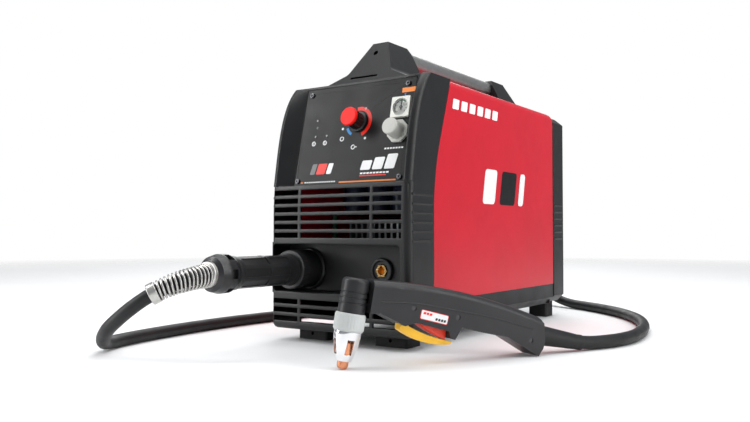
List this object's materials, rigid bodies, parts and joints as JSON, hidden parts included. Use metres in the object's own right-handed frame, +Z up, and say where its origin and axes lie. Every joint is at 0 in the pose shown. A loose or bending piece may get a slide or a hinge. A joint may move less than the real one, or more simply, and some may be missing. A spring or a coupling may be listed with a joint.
{
  "type": "plasma cutter unit",
  "caption": "Portable air plasma cutting unit: an inverter in a sloped-front case with carrying handle, air controls and a hand torch on a lead.",
  "frame": {"origin": "on the floor, under the middle of the case (its four feet stand on this plane)", "axes": "+Z up, -Y out of the front control panel, +Y along the case to the rear cover, +X to the right of someone facing the front"},
  "size_m": [0.5023, 0.8664, 0.361],
  "materials": {
    "charcoal_plastic": "moulded ABS, fine spark-eroded texture, satin black",
    "red_paint": "gloss deep red powder coat on sheet steel",
    "tray_paint": "gloss deep red powder coat on sheet steel",
    "panel_print": "satin black printed film on an aluminium plate",
    "bracket_plastic": "moulded black nylon, satin",
    "tube_grip": "black grip sleeve, satin",
    "foot_rubber": "moulded rubber, matt",
    "screw_steel": "zinc-plated steel, dull",
    "screw_black": "black oxide steel",
    "lamp_lens": "translucent lamp lens",
    "knob_black": "satin black moulded knob",
    "knob_red": "bright red cap, semi-gloss",
    "plain_steel": "turned steel",
    "gauge_black": "black gauge case",
    "gauge_pointer": "black needle",
    "clear_lens": "clear polished lens",
    "light_grey_plastic": "light grey moulded knob, satin",
    "cast_zinc": "die-cast body, satin",
    "contact_brass": "machined brass",
    "connector_plastic": "glass-filled nylon, satin black",
    "chromed_steel": "bright plated steel",
    "copper": "copper, slightly heat tinted",
    "torch_grey": "dark grey moulded handle, soft sheen",
    "trigger_red": "orange-red moulded trigger, semi-gloss",
    "lever_yellow": "yellow moulded lever, semi-gloss",
    "rubber_black": "flexible black rubber, matt",
    "board_green": "lacquered circuit board",
    "zinc_plate": "zinc-coated sheet",
    "heatsink_alu": "extruded aluminium",
    "winding": "lacquered winding and ferrite",
    "capacitor_sleeve": "shrink sleeve",
    "fan_black": "moulded fan plastic",
    "switch_black": "gloss black switch frame"
  },
  "bodies": {
    "unit": {"base_tray": "tray_paint", "front_bezel": "charcoal_plastic", "control_panel": "panel_print", "panel_screws": "screw_black", "status_lights": "lamp_lens", "wraparound_cover": "red_paint", "rear_cover": "charcoal_plastic", "handle_front_bracket": "bracket_plastic", "handle_rear_bracket": "bracket_plastic", "handle_tube": "tube_grip", "feet": "foot_rubber", "case_screws": "screw_black", "current_potentiometer": "gauge_black", "gauge_case": "light_grey_plastic", "gauge_lens": "clear_lens", "regulator_nut": "light_grey_plastic", "regulator_body": "cast_zinc", "work_socket_housing": "connector_plastic", "work_socket_insert": "contact_brass", "torch_socket_base": "connector_plastic", "connector_body": "connector_plastic", "connector_collar": "connector_plastic", "lead_ferrule": "chromed_steel", "nozzle": "copper", "electrode": "copper", "torch_head": "torch_grey", "torch_handle_left": "torch_grey", "torch_handle_right": "torch_grey", "torch_pins": "plain_steel", "trigger_switch": "gauge_black", "torch_screws": "screw_steel", "torch_boot": "rubber_black", "lead_front": "rubber_black", "lead_rear": "rubber_black", "lead_coil": "rubber_black", "strain_relief_spring": "chromed_steel", "control_board": "board_green", "chassis_plate": "zinc_plate", "power_board": "board_green", "heatsink": "heatsink_alu", "main_transformer": "winding", "capacitors": "capacitor_sleeve", "solenoid_valve": "contact_brass", "fan_frame": "fan_black", "mains_switch": "switch_black", "mains_gland": "fan_black", "air_inlet_fitting": "contact_brass", "air_hoses": "rubber_black"},
    "current_control": {"current_knob": "knob_black", "current_knob_cap": "knob_red", "current_spindle": "plain_steel"},
    "regulator_dial": {"regulator_knob": "light_grey_plastic"},
    "gauge_pointer": {"gauge_needle": "gauge_pointer"},
    "fan": {"fan_rotor": "fan_black"},
    "power_rocker": {"mains_rocker": "knob_red"},
    "locking_ring": {"connector_ring": "connector_plastic"},
    "torch_cup": {"retaining_cup": "light_grey_plastic", "shield_cup": "chromed_steel"},
    "trigger": {"torch_trigger": "trigger_red"},
    "lever": {"safety_lever": "lever_yellow"}
  },
  "joints": [
    {"name": "current_knob_turn", "type": "hinge", "parent": "unit", "child": "current_control", "pos_m": [0.0104, -0.198, 0.25461], "axis": [0, -0.9746, 0.2241], "range_deg": [-135, 135]},
    {"name": "regulator_knob_turn", "type": "hinge", "parent": "unit", "child": "regulator_dial", "pos_m": [0.0674, -0.20159, 0.23901], "axis": [0, -0.9746, 0.2241], "range_deg": [-360, 360]},
    {"name": "gauge_needle_turn", "type": "hinge", "parent": "unit", "child": "gauge_pointer", "pos_m": [0.068, -0.19531, 0.2663], "axis": [0, -0.9746, 0.2241], "range_deg": [-90, 90]},
    {"name": "fan_spin", "type": "hinge", "parent": "unit", "child": "fan", "pos_m": [-0.025, 0.2, 0.15], "axis": [0, 1, 0], "continuous": true},
    {"name": "mains_rocker_tip", "type": "hinge", "parent": "unit", "child": "power_rocker", "pos_m": [0.052, 0.2245, 0.225], "axis": [1, 0, 0], "range_deg": [0, 22]},
    {"name": "locking_ring_turn", "type": "hinge", "parent": "unit", "child": "locking_ring", "pos_m": [-0.064, -0.215, 0.084], "axis": [0, -1, 0], "range_deg": [0, 60]},
    {"name": "cup_unscrew", "type": "hinge", "parent": "unit", "child": "torch_cup", "pos_m": [0.0909, -0.3362, 0.0009], "axis": [0.0925, 0.1469, 0.9848], "continuous": true},
    {"name": "trigger_squeeze", "type": "hinge", "parent": "unit", "child": "trigger", "pos_m": [0.133, -0.26935, 0.045], "axis": [0.8462, -0.5329, 0], "range_deg": [0, 7], "stiffness_Nm_per_rad": 0.5, "springref_deg": -5.73},
    {"name": "lever_release", "type": "hinge", "parent": "unit", "child": "lever", "pos_m": [0.12367, -0.28416, 0.0435], "axis": [-0.8462, 0.5329, 0], "range_deg": [0, 20], "stiffness_Nm_per_rad": 0.15, "springref_deg": -8.59}
  ],
  "couplings": [
    {"joint": "gauge_needle_turn", "follows": "regulator_knob_turn", "ratio": 0.25}
  ]
}
